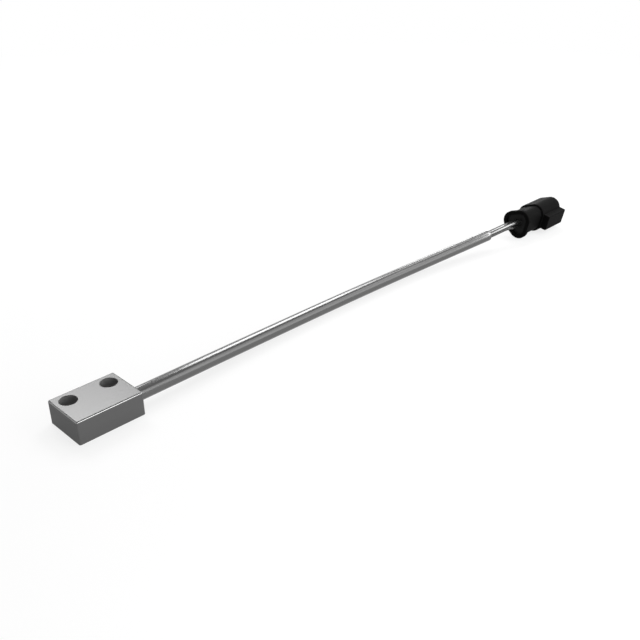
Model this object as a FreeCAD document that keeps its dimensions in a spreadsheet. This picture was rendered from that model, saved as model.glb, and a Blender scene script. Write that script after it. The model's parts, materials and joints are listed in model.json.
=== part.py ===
import FreeCAD, Part
import math
import os

import Sketcher
from FreeCAD import Placement, Rotation, Vector

# Magnetic proximity switch, in millimetres, +Z up. A drilled metal head holds a potted sensor circuit. A
# jacketed three-wire cable leaves its +X end and lies on the surface that the head stands on. It ends in a
# three-way sealed receptacle. The origin is the middle of the head's underside.

SIZES = {
    # Head
    "head_length": 38.1,
    "head_width": 27.9,
    "head_height": 13.5,
    "head_corner_round": 1.0,
    "head_edge_round": 0.9,
    "screw_end_margin": 7.4,
    "screw_back_margin": 7.6,
    "screw_hole_dia": 5.5,
    "counterbore_dia": 9.0,
    "counterbore_depth": 5.0,
    "counterbore_break": 0.35,
    "bore_web": 1.45,
    "bore_end_wall": 5.7,
    # Potted circuit
    "potting_gap": 0.75,
    "potting_recess": 0.4,
    "solder_film": 0.11,
    "board_end_gap": 1.0,
    "board_edge_gap": 0.6,
    "board_jacket_gap": 3.9,
    "board_corner_round": 0.8,
    "pad_reach": 3.0,
    "sensor_length": 3.0,
    "sensor_width": 4.1,
    "sensor_height": 1.5,
    "sensor_margin": 0.4,
    "sensor_chamfer": 0.35,
    "lead_length": 2.2,
    "lead_width": 0.45,
    "lead_thickness": 0.4,
    "lead_pitch": 1.27,
    "chip_length": 2.0,
    "chip_width": 1.25,
    "resistor_height": 0.55,
    "capacitor_height": 0.85,
    "chip_row": 1.6,
    "chip_margin": 1.2,
    "diode_length": 2.7,
    "diode_width": 1.6,
    "diode_height": 1.1,
    "diode_margin": 4.2,
    "part_edge_break": 0.12,
    # Cable
    "jacket_dia": 8.1,
    "jacket_insert": 11.0,
    "wire_dia": 2.8,
    "wire_gap": 0.04,
    "bundle_gap": 0.3,
    "wire_stub": 1.5,
    "conductor_dia": 1.2,
    "wire_lead_out": 2.0,
    "wire_lead_in": 2.6,
    # Receptacle shell
    "corner_offset": 4.2,
    "flange_corner": 7.9,
    "flange_thickness": 3.2,
    "waist_corner": 6.2,
    "waist_wall": 1.2,
    "shroud_corner": 7.6,
    "shroud_wall": 1.5,
    "shroud_start": 21.5,
    "shell_length": 47.2,
    "shell_edge_break": 0.45,
    "tunnel_start": 22.8,
    "tunnel_height": 11.9,
    "tunnel_projection": 4.85,
    "tunnel_wall": 1.3,
    "tunnel_floor": 0.3,
    "catch_setback": 7.0,
    "catch_length": 3.0,
    "catch_width": 5.2,
    "catch_rise": 1.1,
    # Seal, contacts and wedge lock
    "seal_pocket_depth": 9.0,
    "seal_recess": 2.2,
    "seal_rib_rise": 0.35,
    "seal_rib_length": 1.2,
    "seal_lip_dia": 4.1,
    "seal_lip_rise": 0.5,
    "contact_circle": 2.7,
    "contact_gap": 0.1,
    "crimp_gap": 0.02,
    "insulation_reach": 2.0,
    "barrel_clearance": 0.4,
    "barrel_length": 6.5,
    "barrel_dia": 2.6,
    "barrel_bore_depth": 5.4,
    "shoulder_length": 1.4,
    "shoulder_dia": 3.2,
    "body_dia": 2.2,
    "seat_thickness": 4.8,
    "pin_dia": 1.6,
    "pin_setback": 6.0,
    "wedge_length": 6.5,
    "wedge_corner": 3.3,
    "wedge_edge_break": 0.5,
    "puller_dia": 2.6,
    "pin_gap": 0.15,
}
SEAL_RIBS = 3

# Where the receptacle lies: the middle of its rear face, and its roll about its own axis.
RECEPTACLE_AT = Vector(362.1, -17.9, 11.9)
RECEPTACLE_ROLL = 11.0

# The cable's route after its straight start in the head, ending where the jacket is cut back.
CABLE_ROUTE = [
    Vector(98.0, -1.3, 4.6),
    Vector(195.0, -0.7, 3.9),
    Vector(280.0, -5.15, 5.3),
    Vector(329.4, -13.3, 9.9),
]
CABLE_START_RUN = 30.0
ARC_SHARE = 0.45

# The top of the rise that the bundle of wires makes between the jacket's end and the receptacle.
BUNDLE_CREST = Vector(351.0, -16.9, 12.5)

# Each wire's contact, in degrees round the receptacle's axis. The bundle in the cable is turned a little
# further, so that two wires lie over the circuit board and the third lies under it.
WIRES = {"supply": 0.0, "ground": 120.0, "signal": 240.0}
BUNDLE_TURN = 30.0
STRAND_SIDES = 6

# How far a cutter runs past the ends of what it cuts, and the share by which a swept volume may be off.
CUTTER_OVERRUN = 1.0
VOLUME_SLACK = 0.005

doc = FreeCAD.newDocument("proximity_switch")
sheet = doc.addObject("Spreadsheet::Sheet", "sizes")
for row, (alias, number) in enumerate(SIZES.items(), start=1):
    sheet.set(f"A{row}", alias)
    sheet.set(f"B{row}", str(number))
    sheet.setAlias(f"B{row}", alias)
doc.recompute()


class Size:
    """A number that keeps the sheet formula it was worked out with."""

    def __init__(self, value, formula):
        self.value = value
        self.formula = formula

    def __float__(self):
        return self.value

    def __add__(self, other):
        other = as_size(other)
        return Size(self.value + other.value, f"({self.formula} + {other.formula})")

    def __sub__(self, other):
        other = as_size(other)
        return Size(self.value - other.value, f"({self.formula} - {other.formula})")

    def __mul__(self, factor):
        return Size(self.value * factor, f"({self.formula} * {factor!r})")

    def __truediv__(self, divisor):
        return Size(self.value / divisor, f"({self.formula} / {divisor!r})")

    def __neg__(self):
        return self * -1

    __rmul__ = __mul__


def as_size(item):
    return item if isinstance(item, Size) else Size(float(item), repr(float(item)))


def cell(alias):
    """The sheet's value under that alias."""
    return Size(float(sheet.get(alias)), f"sizes.{alias}")


def bind(obj, prop, size):
    obj.setExpression(prop, as_size(size).formula)


def place_at(obj, x, y, z):
    """Binds the object's place to sheet formulas."""
    for axis, size in zip("xyz", (x, y, z)):
        bind(obj, f"Placement.Base.{axis}", size)


# Sketches and features

SKETCH_X_AXIS, SKETCH_Y_AXIS = -1, -2
START, END, CENTRE = 1, 2, 3


def new_body(label):
    body = doc.addObject("PartDesign::Body", label)
    body.Label = label
    return body


def sketch_on(body, name, role, offset=0.0):
    """A sketch on one of the body's own planes, shifted along the plane's normal."""
    sketch = body.newObject("Sketcher::SketchObject", name)
    plane = next(f for f in body.Origin.OriginFeatures if f.Role == role)
    sketch.AttachmentSupport = [(plane, "")]
    sketch.MapMode = "FlatFace"
    bind(sketch, "AttachmentOffset.Base.z", offset)
    return sketch


def drive(sketch, kind, where, size):
    """Adds a dimension that follows the sheet."""
    size = as_size(size)
    index = sketch.addConstraint(Sketcher.Constraint(kind, *where, size.value))
    sketch.setExpression(f"Constraints[{index}]", size.formula)


def pin_point(sketch, geometry, point, x, y):
    """Holds a point at (x, y) from the sketch's origin."""
    for size, kind, axis in ((x, "DistanceX", SKETCH_Y_AXIS), (y, "DistanceY", SKETCH_X_AXIS)):
        if float(size) == 0:
            sketch.addConstraint(Sketcher.Constraint("PointOnObject", geometry, point, axis))
        else:
            drive(sketch, kind, (geometry, point), size)


def add_circle(sketch, x, y, dia):
    round_edge = Part.Circle(Vector(float(x), float(y), 0), Vector(0, 0, 1), float(dia) / 2)
    index = sketch.addGeometry(round_edge, False)
    pin_point(sketch, index, CENTRE, x, y)
    drive(sketch, "Diameter", (index,), dia)


def add_polygon(sketch, corners):
    """A closed outline of straight sides whose corners are held in place."""
    points = [Vector(float(x), float(y), 0) for x, y in corners]
    sides = [Part.LineSegment(a, b) for a, b in zip(points, points[1:] + points[:1])]
    indices = sketch.addGeometry(sides, False)
    for index, after in zip(indices, indices[1:] + indices[:1]):
        sketch.addConstraint(Sketcher.Constraint("Coincident", index, END, after, START))
    for index, (x, y) in zip(indices, corners):
        pin_point(sketch, index, START, x, y)


def add_rectangle(sketch, x0, x1, y0, y1):
    add_polygon(sketch, [(x0, y0), (x1, y0), (x1, y1), (x0, y1)])


def triangle_places(offset):
    """The three points round the axis, the first towards the sketch's +X."""
    half, rise = offset / 2, offset * (math.sqrt(3) / 2)
    return [(offset, 0.0), (-half, rise), (-half, -rise)]


def add_rounded_triangle(sketch, offset, corner):
    """Three equal corner arcs about points round the axis, joined by tangent sides."""
    radius = float(corner)
    arcs, ends = [], []
    for turn, (x, y) in zip((0, 120, 240), triangle_places(offset)):
        centre = Vector(float(x), float(y), 0)
        first, last = math.radians(turn - 60), math.radians(turn + 60)
        arcs.append(Part.ArcOfCircle(Part.Circle(centre, Vector(0, 0, 1), radius), first, last))
        ends.append([centre + radius * Vector(math.cos(a), math.sin(a), 0) for a in (first, last)])
    sides = [Part.LineSegment(ends[k][1], ends[(k + 1) % 3][0]) for k in range(3)]
    arc_ids = sketch.addGeometry(arcs, False)
    side_ids = sketch.addGeometry(sides, False)
    for k in range(3):
        after = arc_ids[(k + 1) % 3]
        sketch.addConstraint(Sketcher.Constraint("Tangent", arc_ids[k], END, side_ids[k], START))
        sketch.addConstraint(Sketcher.Constraint("Tangent", side_ids[k], END, after, START))
    for index, (x, y) in zip(arc_ids, triangle_places(offset)):
        pin_point(sketch, index, CENTRE, x, y)
        drive(sketch, "Radius", (index,), corner)


def add_feature(body, kind, name, sketch, length, backwards=False):
    feature = body.newObject(f"PartDesign::{kind}", name)
    feature.Profile = sketch
    feature.Reversed = backwards
    bind(feature, "Length", length)
    return feature


def cut_through(body, name, sketch):
    feature = body.newObject("PartDesign::Pocket", name)
    feature.Profile = sketch
    feature.Type = "ThroughAll"
    return feature


def dress_edges(body, kind, name, keep, prop, size):
    """Rounds or chamfers those edges of the body so far that keep picks out."""
    doc.recompute()
    base = body.Tip
    chosen = [f"Edge{n}" for n, edge in enumerate(base.Shape.Edges, start=1) if keep(edge)]
    if not chosen:
        raise RuntimeError(f"{name}: no edge found")
    feature = body.newObject(f"PartDesign::{kind}", name)
    feature.Base = (base, chosen)
    bind(feature, prop, size)
    return feature


def near(a, b):
    return abs(float(a) - float(b)) < 1e-4


def halfway(edge):
    return edge.getParameterByLength(edge.Length / 2)


def lies_at(edge, **places):
    """Whether an edge's ends and middle have the named coordinates, on either side of the middle."""
    points = [vertex.Point for vertex in edge.Vertexes] + [edge.valueAt(halfway(edge))]
    return all(
        near(abs(getattr(point, axis)), abs(float(size)))
        for point in points
        for axis, size in places.items()
    )


def is_arc(edge, radius):
    return near(edge.curvatureAt(halfway(edge)) * float(radius), 1)


# Head

head_end = cell("head_length") / 2
head_side = cell("head_width") / 2
head_top = cell("head_height")
screw_x = head_end - cell("screw_end_margin")
screw_y = head_side - cell("screw_back_margin")
bore_dia = cell("jacket_dia") + 2 * cell("potting_gap")
bore_y = screw_y - cell("counterbore_dia") / 2 - cell("bore_web") - bore_dia / 2
bore_z = head_top / 2
bore_floor = -head_end + cell("bore_end_wall")
bore_depth = head_end - bore_floor


def make_housing():
    body = new_body("sensor_housing")
    outline = sketch_on(body, "head_outline", "XY_Plane")
    add_rectangle(outline, -head_end, head_end, -head_side, head_side)
    add_feature(body, "Pad", "head_block", outline, head_top)

    def upright(edge):
        return lies_at(edge, x=head_end, y=head_side)

    def on_top(edge):
        return lies_at(edge, z=head_top)

    dress_edges(body, "Fillet", "head_corners", upright, "Radius", cell("head_corner_round"))
    dress_edges(body, "Fillet", "head_top_edges", on_top, "Radius", cell("head_edge_round"))

    for name, dia in (("screw_hole", "screw_hole_dia"), ("counterbore", "counterbore_dia")):
        circles = sketch_on(body, f"{name}_circles", "XY_Plane", head_top)
        for x in (-screw_x, screw_x):
            add_circle(circles, x, screw_y, cell(dia))
        if name == "screw_hole":
            cut_through(body, f"{name}s", circles)
        else:
            add_feature(body, "Pocket", f"{name}s", circles, cell("counterbore_depth"))

    def counterbore_rim(edge):
        return on_top(edge) and is_arc(edge, cell("counterbore_dia") / 2)

    dress_edges(body, "Chamfer", "counterbore_rims", counterbore_rim, "Size", cell("counterbore_break"))

    circle = sketch_on(body, "bore_circle", "YZ_Plane", head_end)
    add_circle(circle, bore_y, bore_z, bore_dia)
    add_feature(body, "Pocket", "circuit_bore", circle, bore_depth)
    return body


# Circuit in the bore

board_start = bore_floor + cell("board_end_gap")
board_length = (
    bore_depth - cell("board_end_gap") - cell("board_jacket_gap") - cell("jacket_insert")
)
nest_radius = (cell("wire_dia") + cell("wire_gap")) / math.sqrt(3)
strand_flat = cell("conductor_dia") * (math.cos(math.radians(30)) / 2)
board_top = bore_z + nest_radius / 2 - strand_flat - cell("solder_film")
board_under = bore_z - nest_radius + strand_flat + cell("solder_film")
board_thickness = board_top - board_under
board_half = math.sqrt((float(bore_dia) / 2) ** 2 - float(bore_z - board_under) ** 2)


def make_board():
    """The board fills the space between the upper and lower wires, and is as wide as the bore allows."""
    body = new_body("circuit_board")
    outline = sketch_on(body, "board_outline", "XY_Plane", board_under)
    chord = f"sqrt(pow({(bore_dia / 2).formula}; 2) - pow({(bore_z - board_under).formula}; 2))"
    half = Size(board_half, chord) - cell("board_edge_gap")
    add_rectangle(outline, board_start, board_start + board_length, bore_y - half, bore_y + half)
    add_feature(body, "Pad", "board", outline, board_thickness)

    def upright(edge):
        return near(edge.Length, board_thickness)

    dress_edges(body, "Fillet", "board_corners", upright, "Radius", cell("board_corner_round"))
    return body


def make_block(name, x, y, z, length, width, height):
    block = doc.addObject("Part::Box", name)
    for prop, size in (("Length", length), ("Width", width), ("Height", height)):
        bind(block, prop, size)
    place_at(block, x, y, z)
    return block


def make_sensor():
    """A flat three-lead package whose leads lie on the board."""
    x = board_start + cell("sensor_margin")
    width, height = cell("sensor_width"), cell("sensor_height")
    case = make_block("sensor_case", x, bore_y - width / 2, board_top, cell("sensor_length"), width, height)
    doc.recompute()
    bevelled = doc.addObject("Part::Chamfer", "sensor_bevelled")
    bevelled.Base = case
    bevel = float(cell("sensor_chamfer"))
    top = float(board_top + height)
    edges = enumerate(case.Shape.Edges, start=1)
    bevelled.Edges = [(n, bevel, bevel) for n, e in edges if all(near(v.Z, top) for v in e.Vertexes)]
    leads = []
    for k in (-1, 0, 1):
        across = bore_y + k * cell("lead_pitch") - cell("lead_width") / 2
        lead = make_block(
            f"sensor_lead_{k + 2}",
            x + cell("sensor_length"),
            across,
            board_top,
            cell("lead_length"),
            cell("lead_width"),
            cell("lead_thickness"),
        )
        leads.append(lead)
    whole = doc.addObject("Part::MultiFuse", "hall_sensor")
    whole.Shapes = [bevelled] + leads
    return whole


def make_chip(label, y, length, width, height, margin):
    """A small surface part on the board's underside, with its outer edges broken."""
    corner = (board_start + margin, y - width / 2, board_under - height)
    block = make_block(f"{label}_block", *corner, length, width, height)
    doc.recompute()
    chip = doc.addObject("Part::Chamfer", label)
    chip.Base = block
    soft = float(cell("part_edge_break"))
    under = float(board_under)
    edges = enumerate(block.Shape.Edges, start=1)
    chip.Edges = [(n, soft, soft) for n, e in edges if not all(near(v.Z, under) for v in e.Vertexes)]
    return chip


# Cable and wires

jacket_start = head_end - cell("jacket_insert")
jacket_bore = 2 * nest_radius + cell("wire_dia") + 2 * cell("bundle_gap")
receptacle = Placement(RECEPTACLE_AT, Rotation(Vector(1, 0, 0), RECEPTACLE_ROLL))
insulation_end = cell("seal_pocket_depth") + cell("insulation_reach")
barrel_start = insulation_end + cell("barrel_clearance")


def bore_point(x, across=0.0, up=0.0):
    return Vector(float(x), float(bore_y) + across, float(bore_z) + up)


def cable_points():
    start = bore_point(jacket_start)
    return [start, start + Vector(CABLE_START_RUN, 0, 0)] + CABLE_ROUTE


def round_path(points):
    """Straight runs joined by the largest tangent arcs that the runs leave room for, and their radii."""
    edges, radii, start = [], [], points[0]
    for before, corner, after in zip(points, points[1:], points[2:]):
        inward, outward = corner - before, after - corner
        half_turn = inward.getAngle(outward) / 2
        reach = ARC_SHARE * min(inward.Length, outward.Length)
        radius = reach / math.tan(half_turn)
        inward.normalize()
        outward.normalize()
        middle = outward - inward
        middle.normalize()
        entry, leave = corner - inward * reach, corner + outward * reach
        crown = corner + middle * (radius / math.cos(half_turn) - radius)
        edges.append(Part.LineSegment(start, entry).toShape())
        edges.append(Part.Arc(entry, crown, leave).toShape())
        radii.append(radius)
        start = leave
    edges.append(Part.LineSegment(start, points[-1]).toShape())
    return Part.Wire(edges), radii


def swept_bar(points, dia, sides=0):
    """A bar along the rounded path, round or with flat sides, its volume checked by the path's length."""
    path, radii = round_path(points)
    if sides:
        turns = [math.tau * k / sides for k in range(sides + 1)]
        ring = [points[0] + Vector(0, math.cos(turn), math.sin(turn)) * (dia / 2) for turn in turns]
        outline = Part.makePolygon(ring)
    else:
        outline = Part.Wire(Part.makeCircle(dia / 2, points[0], points[1] - points[0]))
    section = Part.Face(outline)
    bar = path.makePipe(section)
    expected = section.Area * path.Length
    if abs(bar.Volume - expected) > VOLUME_SLACK * expected:
        raise RuntimeError(f"swept bar of {bar.Volume:.1f} mm3, not {expected:.1f} mm3")
    return bar, path.Length, min(radii)


def stretched(points, start, end):
    """The same route with its first and last runs made longer by these amounts."""
    first, last = points[0] - points[1], points[-1] - points[-2]
    first.normalize()
    last.normalize()
    return [points[0] + first * start] + points[1:-1] + [points[-1] + last * end]


def add_shape(label, shape):
    feature = doc.addObject("Part::Feature", label)
    feature.Shape = shape
    feature.Placement = Placement()
    return feature


def make_jacket():
    """A tube that fits loosely round the bundle of wires."""
    points = cable_points()
    outside, length, tightest = swept_bar(points, float(cell("jacket_dia")))
    inside = swept_bar(stretched(points, CUTTER_OVERRUN, CUTTER_OVERRUN), float(jacket_bore))[0]
    print(f"cable jacket {length:.1f} mm long, tightest bend {tightest:.0f} mm")
    return add_shape("cable_jacket", outside.cut(inside))


def nested(points, turn):
    """The line that one wire of the bundle follows beside the cable's own line."""
    radius = float(nest_radius)
    line = []
    for k in range(1, len(points) - 1):
        along = (points[k + 1] - points[k]).normalize() + (points[k] - points[k - 1]).normalize()
        side = Vector(0, 0, 1).cross(along).normalize()
        up = along.cross(side).normalize()
        line.append(points[k] + side * (radius * math.cos(turn)) + up * (radius * math.sin(turn)))
    return line


def wire_routes(name):
    """The routes of one wire's insulation and of its conductor, from the board to the contact."""
    contact_turn = math.radians(WIRES[name])
    nest_turn = contact_turn + math.radians(BUNDLE_TURN)
    beyond = stretched(cable_points(), 0.0, float(cell("wire_lead_out")))
    line = nested(beyond + [BUNDLE_CREST, receptacle.Base], nest_turn)

    def in_head(x):
        across, up = (float(nest_radius) * f(nest_turn) for f in (math.cos, math.sin))
        return bore_point(x, across, up)

    def in_receptacle(x):
        across, up = (float(cell("contact_circle")) * f(contact_turn) for f in (math.cos, math.sin))
        return receptacle.multVec(Vector(float(x), across, up))

    lead_in = in_receptacle(-cell("wire_lead_in"))
    strip = in_head(jacket_start - cell("wire_stub"))
    pad = in_head(board_start + board_length - cell("pad_reach"))
    crimp = in_receptacle(barrel_start + cell("barrel_bore_depth"))
    return [strip] + line + [lead_in, in_receptacle(insulation_end)], [pad] + line + [lead_in, crimp]


def make_wire(name):
    """A stranded conductor, six-sided as a bundle of strands lies, and the insulation moulded on it."""
    insulation, conductor = wire_routes(name)
    core = swept_bar(conductor, float(cell("conductor_dia")), STRAND_SIDES)[0]
    cover, length, tightest = swept_bar(insulation, float(cell("wire_dia")))
    print(f"{name} wire {length:.1f} mm long, tightest bend {tightest:.0f} mm")
    return [add_shape(f"{name}_wire", cover.cut(core)), add_shape(f"{name}_conductor", core)]


def make_potting(contents):
    """The resin takes the shape of the bore and of everything that it surrounds."""
    depth = float(bore_depth - cell("potting_recess"))
    fill = Part.makeCylinder(float(bore_dia) / 2, depth, bore_point(bore_floor), Vector(1, 0, 0))
    return add_shape("potting_compound", fill.cut([piece.Shape for piece in contents]))


# Receptacle

corner_offset = cell("corner_offset")
contact_circle = cell("contact_circle")
shoulder_start = barrel_start + cell("barrel_length")
seat = shoulder_start + cell("shoulder_length")
cavity_floor = seat + cell("seat_thickness")
shell_length = cell("shell_length")
pocket_corner = cell("waist_corner") - cell("waist_wall")
cavity_corner = cell("shroud_corner") - cell("shroud_wall")
shroud_flat = corner_offset / 2 + cell("shroud_corner")
tunnel_outside = shroud_flat + cell("tunnel_projection")
tunnel_half = cell("tunnel_height") / 2


def triangle_step(body, kind, name, corner, start, length, backwards=False):
    """Adds or cuts one length of the rounded three-cornered section."""
    outline = sketch_on(body, f"{name}_outline", "YZ_Plane", start)
    add_rounded_triangle(outline, corner_offset, corner)
    return add_feature(body, kind, name, outline, length, backwards)


def contact_holes(body, name, start, dia, length, backwards=False):
    holes = sketch_on(body, f"{name}_circles", "YZ_Plane", start)
    for y, z in triangle_places(contact_circle):
        add_circle(holes, y, z, dia)
    return add_feature(body, "Pocket", name, holes, length, backwards)


def break_edges(body, name, keep):
    return dress_edges(body, "Chamfer", name, keep, "Size", cell("shell_edge_break"))


def make_shell():
    body = new_body("connector_shell")
    shroud_length = shell_length - cell("shroud_start")
    flange_corner, shroud_corner = cell("flange_corner"), cell("shroud_corner")
    triangle_step(body, "Pad", "waist", cell("waist_corner"), 0.0, cell("shroud_start"))
    triangle_step(body, "Pad", "flange", flange_corner, 0.0, cell("flange_thickness"))
    break_edges(body, "flange_edges", lambda edge: is_arc(edge, flange_corner))
    triangle_step(body, "Pad", "shroud", shroud_corner, cell("shroud_start"), shroud_length)
    break_edges(body, "shroud_edges", lambda edge: is_arc(edge, shroud_corner))

    tunnel = sketch_on(body, "tunnel_outline", "YZ_Plane", cell("tunnel_start"))
    root = cell("shroud_wall") / 2 - shroud_flat
    add_rectangle(tunnel, -tunnel_outside, root, -tunnel_half, tunnel_half)
    add_feature(body, "Pad", "tunnel", tunnel, shell_length - cell("tunnel_start"))
    break_edges(body, "tunnel_edges", lambda edge: lies_at(edge, y=tunnel_outside))

    triangle_step(body, "Pocket", "seal_pocket", pocket_corner, 0.0, cell("seal_pocket_depth"), True)
    triangle_step(body, "Pocket", "mating_cavity", cavity_corner, shell_length, shell_length - cavity_floor)

    hollow = sketch_on(body, "tunnel_hollow_outline", "YZ_Plane", shell_length)
    inside = tunnel_half - cell("tunnel_wall")
    tunnel_bottom = -shroud_flat - cell("tunnel_floor")
    add_rectangle(hollow, cell("tunnel_wall") - tunnel_outside, tunnel_bottom, -inside, inside)
    depth = shell_length - cell("tunnel_start") - cell("tunnel_wall")
    add_feature(body, "Pocket", "tunnel_hollow", hollow, depth)

    catch = sketch_on(body, "catch_side", "XY_Plane", -cell("catch_width") / 2)
    front = shell_length - cell("catch_setback")
    back = front - cell("catch_length")
    foot = tunnel_bottom + cell("tunnel_floor") / 2
    add_polygon(catch, [(back, foot), (front, foot), (back, tunnel_bottom - cell("catch_rise"))])
    add_feature(body, "Pad", "catch", catch, cell("catch_width"))

    shoulder_bore = cell("shoulder_dia") + 2 * cell("contact_gap")
    body_bore = cell("body_dia") + 2 * cell("contact_gap")
    pocket_floor = cell("seal_pocket_depth")
    contact_holes(body, "shoulder_bores", pocket_floor, shoulder_bore, seat - pocket_floor, True)
    contact_holes(body, "body_bores", cavity_floor, body_bore, cavity_floor - seat)
    return body


def make_seal():
    """Ribbed rubber that fills the rear pocket, with a raised lip round each wire."""
    body = new_body("rear_wire_seal")
    recess, depth = cell("seal_recess"), cell("seal_pocket_depth")
    triangle_step(body, "Pad", "seal_core", pocket_corner - cell("seal_rib_rise"), recess, depth - recess)
    step = (depth - recess - cell("seal_rib_length")) / (SEAL_RIBS - 1)
    rib_length = cell("seal_rib_length")
    for k in range(SEAL_RIBS):
        triangle_step(body, "Pad", f"seal_rib_{k + 1}", pocket_corner, recess + k * step, rib_length)
    lips = sketch_on(body, "lip_circles", "YZ_Plane", recess)
    for y, z in triangle_places(contact_circle):
        add_circle(lips, y, z, cell("seal_lip_dia"))
    add_feature(body, "Pad", "seal_lips", lips, cell("seal_lip_rise"), True)
    contact_holes(body, "wire_holes", depth, cell("wire_dia"), depth)
    body.Placement = receptacle
    return body


def make_contact(label, y, z):
    """A turned pin: crimp barrel, shoulder, body and a pin with a rounded tip."""
    body = new_body(label)
    profile = sketch_on(body, f"{label}_profile", "XY_Plane")
    pin = cell("pin_dia") / 2
    tip = shell_length - cell("pin_setback")
    nose = tip - pin / 2
    bore = cell("conductor_dia") / 2 + cell("crimp_gap")
    bore_end = barrel_start + cell("barrel_bore_depth")
    add_polygon(
        profile,
        [
            (bore_end, 0.0),
            (bore_end, bore),
            (barrel_start, bore),
            (barrel_start, cell("barrel_dia") / 2),
            (shoulder_start, cell("barrel_dia") / 2),
            (shoulder_start, cell("shoulder_dia") / 2),
            (seat, cell("shoulder_dia") / 2),
            (seat, cell("body_dia") / 2),
            (cavity_floor, cell("body_dia") / 2),
            (cavity_floor, pin),
            (nose, pin),
            (tip, pin / 2),
            (tip, 0.0),
        ],
    )
    turned = body.newObject("PartDesign::Revolution", f"{label}_turned")
    turned.Profile = profile
    turned.ReferenceAxis = (profile, ["H_Axis"])
    turned.Angle = 360
    body.Placement = receptacle.multiply(Placement(Vector(0, float(y), float(z)), Rotation()))
    return body


def make_wedge():
    """The three-cornered lock that stands on the cavity's floor with the pins through it."""
    body = new_body("wedge_lock")
    outline = sketch_on(body, "wedge_outline", "YZ_Plane", cavity_floor)
    add_rounded_triangle(outline, contact_circle, cell("wedge_corner"))
    add_feature(body, "Pad", "wedge_block", outline, cell("wedge_length"))
    front = cavity_floor + cell("wedge_length")

    def on_front(edge):
        return lies_at(edge, x=front)

    dress_edges(body, "Chamfer", "wedge_front_edge", on_front, "Size", cell("wedge_edge_break"))
    contact_holes(body, "pin_holes", front, cell("pin_dia") + 2 * cell("pin_gap"), cell("wedge_length"))
    puller = sketch_on(body, "puller_circle", "YZ_Plane", front)
    add_circle(puller, 0.0, 0.0, cell("puller_dia"))
    add_feature(body, "Pocket", "puller_hole", puller, cell("wedge_length"))
    body.Placement = receptacle
    return body


def make_all():
    chip = (cell("chip_length"), cell("chip_width"))
    row, margin = cell("chip_row"), cell("chip_margin")
    diode = (cell("diode_length"), cell("diode_width"), cell("diode_height"))
    housing = make_housing()
    circuit = [
        make_board(),
        make_sensor(),
        make_chip("pull_up_resistor", bore_y + row, *chip, cell("resistor_height"), margin),
        make_chip("bypass_capacitor", bore_y - row, *chip, cell("capacitor_height"), margin),
        make_chip("protection_diode", bore_y, *diode, cell("diode_margin")),
    ]
    cable = [make_jacket()]
    for name in WIRES:
        cable += make_wire(name)
    doc.recompute()
    potting = make_potting(circuit + cable)
    shell = make_shell()
    shell.Placement = receptacle
    contacts = [
        make_contact(f"{name}_contact", y, z)
        for name, (y, z) in zip(WIRES, triangle_places(contact_circle))
    ]
    return [housing, potting, shell, make_seal(), make_wedge()] + circuit + cable + contacts


pieces = make_all()
doc.recompute()
for obj in doc.Objects:
    if "Invalid" in obj.State or "Error" in obj.State:
        raise RuntimeError(f"{obj.Label} failed to build: {obj.State}")
for piece in pieces:
    if piece.Shape.isNull() or not piece.Shape.isValid() or len(piece.Shape.Solids) != 1:
        raise RuntimeError(f"{piece.Label} is not one valid solid")

os.makedirs("parts", exist_ok=True)
for piece in pieces:
    piece.Shape.exportStep(f"parts/{piece.Label}.step")
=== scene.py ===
import json
import math

import bmesh
import bpy
from mathutils import Matrix, Vector


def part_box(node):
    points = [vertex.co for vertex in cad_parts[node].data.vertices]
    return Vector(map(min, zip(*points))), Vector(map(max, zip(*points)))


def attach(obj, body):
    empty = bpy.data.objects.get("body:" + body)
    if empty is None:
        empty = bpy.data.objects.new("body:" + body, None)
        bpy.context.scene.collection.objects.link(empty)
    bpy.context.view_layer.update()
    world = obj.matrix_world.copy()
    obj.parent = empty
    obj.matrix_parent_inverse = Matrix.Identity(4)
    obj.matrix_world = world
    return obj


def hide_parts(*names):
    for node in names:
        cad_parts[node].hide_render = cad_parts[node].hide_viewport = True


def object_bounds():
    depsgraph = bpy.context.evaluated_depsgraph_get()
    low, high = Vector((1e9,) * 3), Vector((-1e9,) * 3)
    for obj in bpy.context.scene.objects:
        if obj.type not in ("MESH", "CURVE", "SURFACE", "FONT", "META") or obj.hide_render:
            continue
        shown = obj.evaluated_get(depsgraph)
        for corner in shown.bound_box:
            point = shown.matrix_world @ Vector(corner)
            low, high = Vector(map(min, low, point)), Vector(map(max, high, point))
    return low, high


# The look of a magnetic proximity switch: a satin metal head, a silver-grey cable laid along its route,
# three glossy wires and a black sealed receptacle, on a white table under softboxes.

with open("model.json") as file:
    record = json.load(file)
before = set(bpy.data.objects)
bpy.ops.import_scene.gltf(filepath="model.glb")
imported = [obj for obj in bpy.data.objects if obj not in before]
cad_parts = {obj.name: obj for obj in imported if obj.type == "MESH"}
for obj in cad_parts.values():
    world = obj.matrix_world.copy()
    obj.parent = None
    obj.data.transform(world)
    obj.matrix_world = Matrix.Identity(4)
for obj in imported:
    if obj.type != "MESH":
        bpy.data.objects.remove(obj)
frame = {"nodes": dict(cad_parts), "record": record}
cad_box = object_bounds()
nodes = frame["nodes"]
record = frame["record"]

MM = 0.001
X_AXIS = Vector((1.0, 0.0, 0.0))
Y_AXIS = Vector((0.0, 1.0, 0.0))
Z_AXIS = Vector((0.0, 0.0, 1.0))

# Objects and meshes


def add_object(name, data):
    made = bpy.data.objects.new(name, data)
    bpy.context.scene.collection.objects.link(made)
    return made


def mesh_object(name, mesh):
    """A new object in the scene, from a mesh that is finished with."""
    data = bpy.data.meshes.new(name)
    mesh.to_mesh(data)
    mesh.free()
    return add_object(name, data)


def quarter_turn(steps):
    """Angles from 0 to a right angle."""
    return [math.pi / 2 * k / steps for k in range(steps + 1)]


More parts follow.
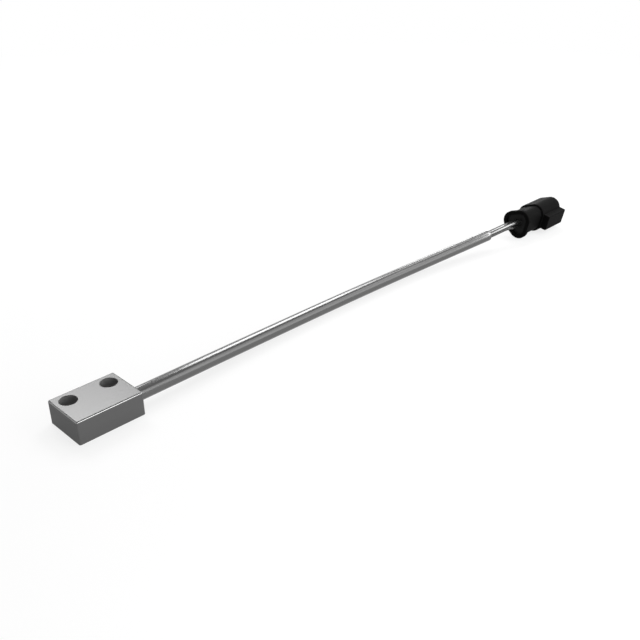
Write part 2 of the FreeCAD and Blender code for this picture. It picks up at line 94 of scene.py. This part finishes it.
def add_ring(mesh, middle, across, up, radius, sides):
    """A ring of vertices round a middle, in the plane of two directions at right angles."""
    turns = [math.tau * n / sides for n in range(sides)]
    outward = [(across * math.cos(turn) + up * math.sin(turn)) * radius for turn in turns]
    return [mesh.verts.new(middle + step) for step in outward]


def join_rings(mesh, rings):
    """Smooth faces between each ring and the next."""
    for ring, after in zip(rings, rings[1:]):
        for n in range(len(ring)):
            m = (n + 1) % len(ring)
            mesh.faces.new((ring[n], ring[m], after[m], after[n])).smooth = True


# Camera

# The photograph's camera, solved from the head's edges, and how near and far it sees, in metres.
IMAGE_WIDTH = 640
FOCAL_PIXELS = 790.54
SENSOR_WIDTH = 36.0
CAMERA_AT = Vector((-159.2, -315.1, 234.1)) * MM
CAMERA_AIM = Vector((156.0, -5.5, 0.0)) * MM
NEAREST_SEEN = 0.01
FURTHEST_SEEN = 100.0


def place_camera():
    lens = bpy.data.cameras.new("camera")
    lens.sensor_width = SENSOR_WIDTH
    lens.lens = SENSOR_WIDTH * FOCAL_PIXELS / IMAGE_WIDTH
    lens.clip_start = NEAREST_SEEN
    lens.clip_end = FURTHEST_SEEN
    camera = add_object("camera", lens)
    camera.location = CAMERA_AT
    camera.rotation_euler = (CAMERA_AIM - CAMERA_AT).to_track_quat("-Z", "Y").to_euler()
    bpy.context.scene.camera = camera


# Cable

# The cable's route, as the part's source has it, and its section, in millimetres.
CABLE_ROUTE = [
    (8.05, -4.4, 6.75),
    (38.05, -4.4, 6.75),
    (98.0, -1.3, 4.6),
    (195.0, -0.7, 3.9),
    (280.0, -5.15, 5.3),
    (329.4, -13.3, 9.9),
]
CABLE_RADIUS = 4.05
CABLE_BORE_RADIUS = 3.34
CABLE_LIP = 0.1
SPLINE_STEPS = 40
TUBE_SIDES = 64
LIP_STEPS = 4


def spline_points(route):
    """Points along the NURBS spline that has the route's points as its control points."""
    curve = bpy.data.curves.new("cable_line", "CURVE")
    curve.dimensions = "3D"
    spline = curve.splines.new("NURBS")
    spline.points.add(len(route) - 1)
    for point, place in zip(spline.points, route):
        point.co = (*(Vector(place) * MM), 1.0)
    spline.order_u = 3
    spline.use_endpoint_u = True
    spline.resolution_u = SPLINE_STEPS
    line = bpy.data.objects.new("cable_line", curve)
    mesh = bpy.data.meshes.new_from_object(line)
    points = [vertex.co.copy() for vertex in mesh.vertices]
    bpy.data.objects.remove(line)
    bpy.data.meshes.remove(mesh)
    return points


def tube_sections(last):
    """The jacket's rings, along its outside, round its lip at the last point and back along its bore.

    Each is the number of a point, a step along the line from there and a radius, in millimetres.
    """
    outside = [(k, 0.0, CABLE_RADIUS) for k in range(last)]
    inside = [(k, 0.0, CABLE_BORE_RADIUS) for k in reversed(range(last))]
    rounding = [
        (CABLE_LIP * (math.sin(turn) - 1), CABLE_LIP * (1 - math.cos(turn)))
        for turn in quarter_turn(LIP_STEPS)
    ]
    outer_lip = [(last, along, CABLE_RADIUS - inset) for along, inset in rounding]
    inner_lip = [(last, along, CABLE_BORE_RADIUS + inset) for along, inset in reversed(rounding)]
    return outside + outer_lip + inner_lip + inside


def build_cable():
    """The jacket: one closed tube along the spline, with a rounded lip where the wires come out."""
    points = spline_points(CABLE_ROUTE)
    last = len(points) - 1
    mesh = bmesh.new()
    rings = []
    for k, along, radius in tube_sections(last):
        forward = (points[min(k + 1, last)] - points[max(k - 1, 0)]).normalized()
        across = Z_AXIS.cross(forward).normalized()
        middle = points[k] + forward * along * MM
        rings.append(add_ring(mesh, middle, across, forward.cross(across), radius * MM, TUBE_SIDES))
    join_rings(mesh, rings + rings[:1])
    bmesh.ops.recalc_face_normals(mesh, faces=mesh.faces)
    cable = mesh_object("cable", mesh)
    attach(cable, "root")
    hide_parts("cable_jacket")
    return cable


# Shader nodes


def feed(tree, sockets, values):
    """Gives each named socket a number or a colour, or links it to the output of another node."""
    for name, value in values.items():
        if isinstance(value, bpy.types.NodeSocket):
            tree.links.new(value, sockets[name])
        else:
            sockets[name].default_value = value


def add(tree, kind, inputs=None, **settings):
    """A new node with its settings and its inputs, which go by name or by number."""
    node = tree.nodes.new(kind)
    for name, value in settings.items():
        setattr(node, name, value)
    feed(tree, node.inputs, inputs or {})
    return node


def grey(level):
    return (level, level, level, 1.0)


def place_on(tree):
    """The place on the surface in the object's own metres, which for the part are the frame's."""
    return add(tree, "ShaderNodeTexCoord").outputs["Object"]


def noise(tree, scale, detail, finer=(1.0, 1.0, 1.0)):
    """Noise from 0 to 1. Along each axis it is so many times finer than its scale says."""
    mapped = add(tree, "ShaderNodeMapping", {"Vector": place_on(tree), "Scale": finer}).outputs["Vector"]
    inputs = {"Vector": mapped, "Scale": scale, "Detail": detail}
    return add(tree, "ShaderNodeTexNoise", inputs).outputs["Fac"]


def span(tree, value, low, high, start=0.0, end=1.0):
    """Carries a value between start and end over to the span from low to high."""
    inputs = {"Value": value, "From Min": start, "From Max": end, "To Min": low, "To Max": high}
    return add(tree, "ShaderNodeMapRange", inputs).outputs["Result"]


def past(tree, length, first, last):
    """0 up to the first length and 1 from the last, both in millimetres."""
    return span(tree, length, 0.0, 1.0, first * MM, last * MM)


def reckon(tree, operation, *values):
    """The result of a Math node on one or two values."""
    return add(tree, "ShaderNodeMath", dict(enumerate(values)), operation=operation).outputs["Value"]


def reckon_vectors(tree, operation, *values):
    """A Vector Math node's outputs, for one or two vectors."""
    return add(tree, "ShaderNodeVectorMath", dict(enumerate(values)), operation=operation).outputs


def mix_colours(tree, factor, first, second):
    node = add(tree, "ShaderNodeMix", data_type="RGBA")
    sockets = {socket.name: socket for socket in node.inputs if socket.enabled}
    feed(tree, sockets, {"Factor": factor, "A": first, "B": second})
    return next(socket for socket in node.outputs if socket.enabled)


def mix_shaders(tree, factor, first, second):
    return add(tree, "ShaderNodeMixShader", {0: factor, 1: first, 2: second}).outputs["Shader"]


def bump(tree, height, depth):
    """The normal of a surface that a height from 0 to 1 raises by up to a depth in millimetres."""
    inputs = {"Height": height, "Distance": depth * MM, "Strength": 1.0}
    return add(tree, "ShaderNodeBump", inputs).outputs["Normal"]


def new_material(name):
    material = bpy.data.materials.new(name)
    material.use_nodes = True
    return material, material.node_tree


def dress(material, surface):
    """Gives the material's surface shader its values."""
    tree = material.node_tree
    feed(tree, tree.nodes["Principled BSDF"].inputs, surface)
    return material


# Masks

# The head's highest corner, in metres, and the rounding of its top edges, in millimetres. Past the
# rounding's start, their polish begins at the first distance and is whole at the second.
HEAD_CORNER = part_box("sensor_housing")[1]
HEAD_EDGE_ROUND = 0.9
POLISHED_FROM_TO = (0.14, 0.24)

# A radius that takes in a screw hole's bore and one that takes in most of its broken rim, the width over
# which their painted light and shade fade, and the height that it starts from, in millimetres.
HOLE_RADIUS = 4.56
HOLE_RIM_RADIUS = 4.72
HOLE_FADE = 0.05
UNDERSIDE = 0.4

# The bevel that finds an edge for the painted highlight, in millimetres, and the cosines between its normal
# and the surface's own at which the painted highlight starts and is whole.
HIGHLIGHT_BEVEL_RADIUS = 0.3
HIGHLIGHT_BEVEL_SAMPLES = 6
HIGHLIGHT_COSINES = (0.99, 0.8)


def edge_highlight_mask(tree):
    """1 on edges that are sharper than the bevel's radius and 0 on flats, where a highlight is painted."""
    bevel = add(tree, "ShaderNodeBevel", {"Radius": HIGHLIGHT_BEVEL_RADIUS * MM}, samples=HIGHLIGHT_BEVEL_SAMPLES)
    facing = add(tree, "ShaderNodeNewGeometry").outputs["Normal"]
    cosine = reckon_vectors(tree, "DOT_PRODUCT", bevel.outputs["Normal"], facing)["Value"]
    return span(tree, cosine, 0.0, 1.0, *HIGHLIGHT_COSINES)


def top_edge_mask(tree):
    """1 on the rounded edges of the head's top face."""
    axes = add(tree, "ShaderNodeSeparateXYZ", {"Vector": place_on(tree)}).outputs
    inner = [size - HEAD_EDGE_ROUND * MM for size in HEAD_CORNER]
    away = [reckon(tree, "ABSOLUTE", axes["X"]), reckon(tree, "ABSOLUTE", axes["Y"]), axes["Z"]]
    x, y, z = [reckon(tree, "SUBTRACT", size, start) for size, start in zip(away, inner)]
    beyond = reckon(tree, "MINIMUM", z, reckon(tree, "MAXIMUM", x, y))
    return past(tree, beyond, *POLISHED_FROM_TO)


def hole_middles():
    """The screw holes' middles at the underside, from the record's mount."""
    mount = next(mount for mount in record["mounts"] if mount["name"] == "screw_holes")
    x, y = mount["pos_m"][:2]
    reach = mount["dims"]["spacing_x_mm"] * MM / 2
    return [(x - reach, y, 0.0), (x + reach, y, 0.0)]


# The masks for the painted shade on the hole rims and the painted light in the bores.
def hole_masks(tree):
    """1 in the screw holes' bores and rims, above the underside, and 1 in their bores alone."""
    place = place_on(tree)
    height = add(tree, "ShaderNodeSeparateXYZ", {"Vector": place}).outputs["Z"]
    flat = reckon_vectors(tree, "MULTIPLY", place, X_AXIS + Y_AXIS)["Vector"]
    away = [reckon_vectors(tree, "DISTANCE", flat, middle)["Value"] for middle in hole_middles()]
    nearest = reckon(tree, "MINIMUM", *away)
    above = past(tree, height, UNDERSIDE, 2 * UNDERSIDE)
    inside = [past(tree, nearest, radius, radius - HOLE_FADE) for radius in (HOLE_RIM_RADIUS, HOLE_RADIUS)]
    return [reckon(tree, "MULTIPLY", mask, above) for mask in inside]


# Materials


def satin_metal():
    """The milled head: fine lines along its length, soft patches, painted shade on the hole rims, painted
    light in the bores and polished top edges.
    """
    material, tree = new_material("satin_metal")
    lines = noise(tree, scale=90.0, detail=4.0, finer=(1.0, 40.0, 40.0))
    patches = noise(tree, scale=60.0, detail=2.0)
    ground = mix_colours(tree, span(tree, lines, -0.2, 1.2), grey(0.143), grey(0.157))
    clouded = mix_colours(tree, span(tree, patches, 0.0, 0.3), ground, grey(0.17))
    rims, bores = hole_masks(tree)
    # The hole rims are painted near black, a painted shade, and the bores are painted lighter than the metal
    # round them, a painted light.
    rim_shade_painted = mix_colours(tree, rims, clouded, grey(0.03))
    bore_light_painted = mix_colours(tree, bores, rim_shade_painted, grey(0.29))
    edges = top_edge_mask(tree)
    milled = span(tree, lines, 0.26, 0.32)
    polish = span(tree, edges, 1.0, 0.5)
    surface = {
        "Base Color": mix_colours(tree, edges, bore_light_painted, grey(0.25)),
        "Metallic": span(tree, edges, 0.5, 1.0),
        "Roughness": reckon(tree, "MULTIPLY", milled, polish),
        "Specular IOR Level": 0.05,
        "Specular Tint": grey(0.5),
        "Normal": bump(tree, lines, depth=0.001),
    }
    return dress(material, surface)


def cable_jacket():
    """Smooth extruded jacket with a silver-grey sheen and faint die lines."""
    material, tree = new_material("cable_jacket")
    die_lines = noise(tree, scale=60.0, detail=3.0, finer=(0.15, 12.0, 12.0))
    patches = noise(tree, scale=45.0, detail=2.0)
    ground = mix_colours(tree, span(tree, die_lines, -0.1, 1.1), grey(0.14), grey(0.158))
    surface = {
        "Base Color": mix_colours(tree, span(tree, patches, 0.0, 0.25), ground, grey(0.172)),
        "Metallic": 0.6,
        "Roughness": span(tree, patches, 0.12, 0.2),
        "Specular IOR Level": 0.35,
    }
    return dress(material, surface)


def wire_insulation():
    """Glossy insulation with faint lines along the wire."""
    material, tree = new_material("wire_insulation")
    die_lines = noise(tree, scale=70.0, detail=2.0, finer=(0.2, 10.0, 10.0))
    surface = {
        "Base Color": mix_colours(tree, die_lines, grey(0.12), grey(0.15)),
        "Metallic": 0.8,
        "Roughness": span(tree, die_lines, 0.12, 0.18),
        "Specular IOR Level": 0.1,
        "Specular Tint": grey(0.1),
    }
    return dress(material, surface)


def moulded_black():
    """Black moulded plastic with a fine satin grain and a painted highlight on its edges."""
    material, tree = new_material("moulded_black")
    grain = noise(tree, scale=2600.0, detail=2.0)
    patches = noise(tree, scale=80.0, detail=3.0)
    ground = mix_colours(tree, patches, grey(0.007), grey(0.01))
    surface = {
        # The edges are painted lighter: a painted highlight.
        "Base Color": mix_colours(tree, edge_highlight_mask(tree), ground, grey(0.016)),
        "Roughness": span(tree, grain, 0.42, 0.6),
        "Specular IOR Level": 0.012,
        "Normal": bump(tree, grain, depth=0.01),
    }
    return dress(material, surface)


def grained(name, grain, colours, roughness, depth, plain=None):
    """A material whose one grain sets its colour, roughness and height, with what is plain all over it."""
    material, tree = new_material(name)
    height = noise(tree, **grain)
    surface = {
        "Base Color": mix_colours(tree, height, *colours),
        "Roughness": span(tree, height, *roughness),
        "Normal": bump(tree, height, depth),
    }
    surface.update(plain or {})
    return dress(material, surface)


def seal_rubber():
    """Dull rubber with a bloom."""
    bloom = {"scale": 300.0, "detail": 3.0}
    colours = (grey(0.009), grey(0.02))
    plain = {"Specular IOR Level": 0.2}
    return grained("seal_rubber", bloom, colours, roughness=(0.6, 0.8), depth=0.01, plain=plain)


def grey_plastic():
    """Moulded plastic with a fine grain."""
    grain = {"scale": 2200.0, "detail": 2.0}
    colours = (grey(0.16), grey(0.2))
    return grained("grey_plastic", grain, colours, roughness=(0.42, 0.58), depth=0.01)


def plated_pin():
    """Turned pins under nickel plate, with fine rings round their axis."""
    rings = {"scale": 80.0, "detail": 3.0, "finer": (40.0, 1.0, 1.0)}
    colours = ((0.52, 0.5, 0.46, 1.0), (0.62, 0.6, 0.56, 1.0))
    plain = {"Metallic": 1.0}
    return grained("plated_pin", rings, colours, roughness=(0.18, 0.34), depth=0.002, plain=plain)


def stranded_copper():
    """Bare copper with its strands along the wire."""
    strands = {"scale": 120.0, "detail": 2.0, "finer": (2.0, 30.0, 30.0)}
    colours = ((0.5, 0.24, 0.13, 1.0), (0.72, 0.38, 0.22, 1.0))
    plain = {"Metallic": 1.0}
    return grained("stranded_copper", strands, colours, roughness=(0.28, 0.45), depth=0.02, plain=plain)


def cast_resin():
    """Dark resin with soft clouds."""
    clouds = {"scale": 220.0, "detail": 3.0}
    colours = (grey(0.012), grey(0.028))
    return grained("cast_resin", clouds, colours, roughness=(0.22, 0.4), depth=0.03)


def board_laminate():
    """Green laminate with a fine mottle."""
    mottle = {"scale": 900.0, "detail": 2.0}
    colours = ((0.01, 0.07, 0.03, 1.0), (0.02, 0.11, 0.05, 1.0))
    return grained("board_laminate", mottle, colours, roughness=(0.3, 0.5), depth=0.01)


def package_black():
    """The black moulding of small electronic parts."""
    grain = {"scale": 3000.0, "detail": 2.0}
    colours = (grey(0.012), grey(0.022))
    return grained("package_black", grain, colours, roughness=(0.45, 0.65), depth=0.008)


def fired_ceramic():
    """Tan ceramic with fine specks."""
    specks = {"scale": 2400.0, "detail": 3.0}
    colours = ((0.22, 0.15, 0.09, 1.0), (0.32, 0.23, 0.14, 1.0))
    return grained("fired_ceramic", specks, colours, roughness=(0.36, 0.52), depth=0.006)


MAKERS = {
    "housing_metal": satin_metal,
    "jacket": cable_jacket,
    "insulation": wire_insulation,
    "copper": stranded_copper,
    "shell_black": moulded_black,
    "seal_rubber": seal_rubber,
    "contact_plated": plated_pin,
    "wedge_grey": grey_plastic,
    "resin": cast_resin,
    "board_laminate": board_laminate,
    "package_black": package_black,
    "capacitor_ceramic": fired_ceramic,
}


def paint(obj, material):
    obj.data.materials.clear()
    obj.data.materials.append(material)


def paint_all(cable):
    """Gives each node the look of the record's slot that it has."""
    looks = {slot: make() for slot, make in MAKERS.items()}
    for part in record["subparts"]:
        paint(nodes[part["node"]], looks[part["material_slot"]])
    paint(cable, looks["jacket"])


# Table and backdrop

# The cove, in metres: a round table that bends up into a wall at its rim.
COVE_RADIUS = 6.0
COVE_BEND = 1.0
COVE_HEIGHT = 3.2
COVE_SIDES = 96
COVE_BEND_STEPS = 8

# Of the cove that is seen, the share that is white by itself, near its middle and away from it, and where
# near ends and away starts, in metres. The rest is lit paint, which takes the object's shadow.
WHITE_SHARE = (0.8, 1.0)
WHITE_FROM_TO = (0.35, 1.1)
COVE_PAINT = 0.9
COVE_BOUNCE_PAINT = 0.2


def seen_rays(tree):
    """1 for the rays that look at a surface, from the camera, a reflection or through glass."""
    path = add(tree, "ShaderNodeLightPath").outputs
    reflected = reckon(tree, "MAXIMUM", path["Is Glossy Ray"], path["Is Transmission Ray"])
    return reckon(tree, "MAXIMUM", path["Is Camera Ray"], reflected)


def cove_material():
    """White where it is seen, with the object's shadow, and darker paint for the light it throws back."""
    material, tree = new_material("cove")
    tree.nodes.remove(tree.nodes["Principled BSDF"])
    lit = add(tree, "ShaderNodeBsdfDiffuse", {"Color": grey(COVE_PAINT)}).outputs["BSDF"]
    white = add(tree, "ShaderNodeEmission", {"Color": grey(1.0), "Strength": 1.0}).outputs["Emission"]
    bounce = add(tree, "ShaderNodeBsdfDiffuse", {"Color": grey(COVE_BOUNCE_PAINT)}).outputs["BSDF"]
    away = reckon_vectors(tree, "LENGTH", place_on(tree))["Value"]
    share = span(tree, away, *WHITE_SHARE, *WHITE_FROM_TO)
    surface = mix_shaders(tree, seen_rays(tree), bounce, mix_shaders(tree, share, lit, white))
    feed(tree, tree.nodes["Material Output"].inputs, {"Surface": surface})
    return material


def build_cove():
    """The table and the wall round it, in one piece, with its middle under the object's."""
    flat = COVE_RADIUS - COVE_BEND
    turns = quarter_turn(COVE_BEND_STEPS)
    outline = [(flat + COVE_BEND * math.sin(turn), COVE_BEND * (1 - math.cos(turn))) for turn in turns]
    outline.append((COVE_RADIUS, COVE_HEIGHT))
    mesh = bmesh.new()
    rings = [
        add_ring(mesh, Z_AXIS * height, X_AXIS, Y_AXIS, radius, COVE_SIDES) for radius, height in outline
    ]
    mesh.faces.new(rings[0])
    join_rings(mesh, rings)
    cove = mesh_object("cove", mesh)
    middle = (Vector(cad_box[0]) + Vector(cad_box[1])) / 2
    cove.location = (middle.x, middle.y, 0.0)
    paint(cove, cove_material())


# Light

ROOM_LIGHT = 0.42

# Each softbox: its middle, the point it faces, the direction in which its second side runs, its two sides in
# metres, and its radiance, where 1 is white. Three are for the cable, three for the head, one for the wires
# and one, front_fill, for the whole front.
EDGE_TILT = (0.0, 0.41, 0.91)
WIRE_TILT = (0.06, 0.79, 0.6)
SOFTBOXES = {
    "streak": ((0.91, 0.47, 0.93), (0.13, 0.0, 0.0), X_AXIS, (0.68, 0.36), 9.0),
    "streak_far_end": ((1.1, 0.589, 0.294), (0.33, -0.013, 0.013), X_AXIS, (0.22, 0.26), 7.0),
    "far_half_fill": ((0.93, -0.08, 0.594), (0.265, -0.003, 0.008), X_AXIS, (0.8, 0.26), 1.1),
    "head_top": ((0.346, 0.95, 0.895), (0.0, 0.0, 0.0), Z_AXIS, (0.54, 0.5), 9.5),
    "front_fill": ((0.91, -0.71, 0.47), (0.2, 0.0, 0.0), Z_AXIS, (0.85, 0.9), 1.25),
    "head_edge": ((0.174, -0.409, 0.19), (0.0, -0.0135, 0.013), EDGE_TILT, (0.1, 0.2), 6.0),
    "head_front": ((-0.03, -0.3, 0.07), (-0.005, -0.0135, 0.006), Z_AXIS, (0.12, 0.1), 5.0),
    "wire_streak": ((0.411, -0.082, 0.093), (0.35, -0.0165, 0.0127), WIRE_TILT, (0.024, 0.12), 8.0),
}


def light_room():
    """An even light from above the cove."""
    world = bpy.data.worlds.new("room")
    world.use_nodes = True
    sky = world.node_tree.nodes["Background"].inputs
    feed(world.node_tree, sky, {"Color": grey(1.0), "Strength": ROOM_LIGHT})
    bpy.context.scene.world = world


def aimed(middle, faced, runs):
    """The turn of a lamp at middle that shines at faced, its second side as near to runs as it can be."""
    back = (Vector(middle) - Vector(faced)).normalized()
    across = Vector(runs).cross(back).normalized()
    return Matrix((across, back.cross(across), back)).transposed().to_euler()


def hang_softboxes():
    for name, (middle, faced, runs, sides, radiance) in SOFTBOXES.items():
        light = bpy.data.lights.new(name, "AREA")
        light.shape = "RECTANGLE"
        light.size, light.size_y = sides
        light.energy = math.pi * sides[0] * sides[1] * radiance
        softbox = add_object(name, light)
        softbox.location = middle
        softbox.rotation_euler = aimed(middle, faced, runs)
        softbox.visible_camera = False


# The scene

bpy.context.scene.view_settings.view_transform = "Standard"
place_camera()
cable = build_cable()
paint_all(cable)
build_cove()
light_room()
hang_softboxes()
